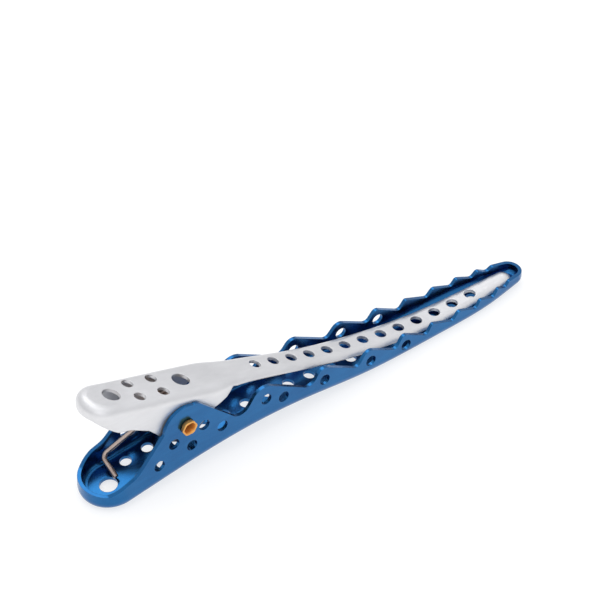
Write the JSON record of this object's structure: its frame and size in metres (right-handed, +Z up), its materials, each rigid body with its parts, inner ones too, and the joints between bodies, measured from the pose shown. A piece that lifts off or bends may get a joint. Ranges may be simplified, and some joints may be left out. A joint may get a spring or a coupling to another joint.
{
  "type": "hair sectioning clip",
  "caption": "Long tapered hair clip of two perforated channel jaws with toothed walls, hinged on a hollow rivet and held shut by a torsion spring.",
  "frame": {"origin": "on the floor, under the middle of the closed clip's bounding box", "axes": "+X from the handles to the nose, +Y across the clip, +Z up, away from the outer jaw's back, on which the clip lies"},
  "size_m": [0.1122, 0.0142, 0.0275],
  "materials": {
    "anodised_blue": "satin anodised",
    "bare_aluminium": "fine satin",
    "brass": "polished",
    "spring_steel": "drawn wire"
  },
  "bodies": {
    "outer": {"outer_jaw": "anodised_blue", "pivot_rivet": "brass", "torsion_spring": "spring_steel"},
    "inner": {"inner_jaw": "bare_aluminium"}
  },
  "joints": [
    {"name": "jaw_hinge", "type": "hinge", "parent": "outer", "child": "inner", "pos_m": [-0.03457, 0, 0.01365], "axis": [0, -1, 0], "range_deg": [0, 42], "stiffness_Nm_per_rad": 0.35, "springref_deg": -51.57, "deforming": ["torsion_spring"]}
  ]
}
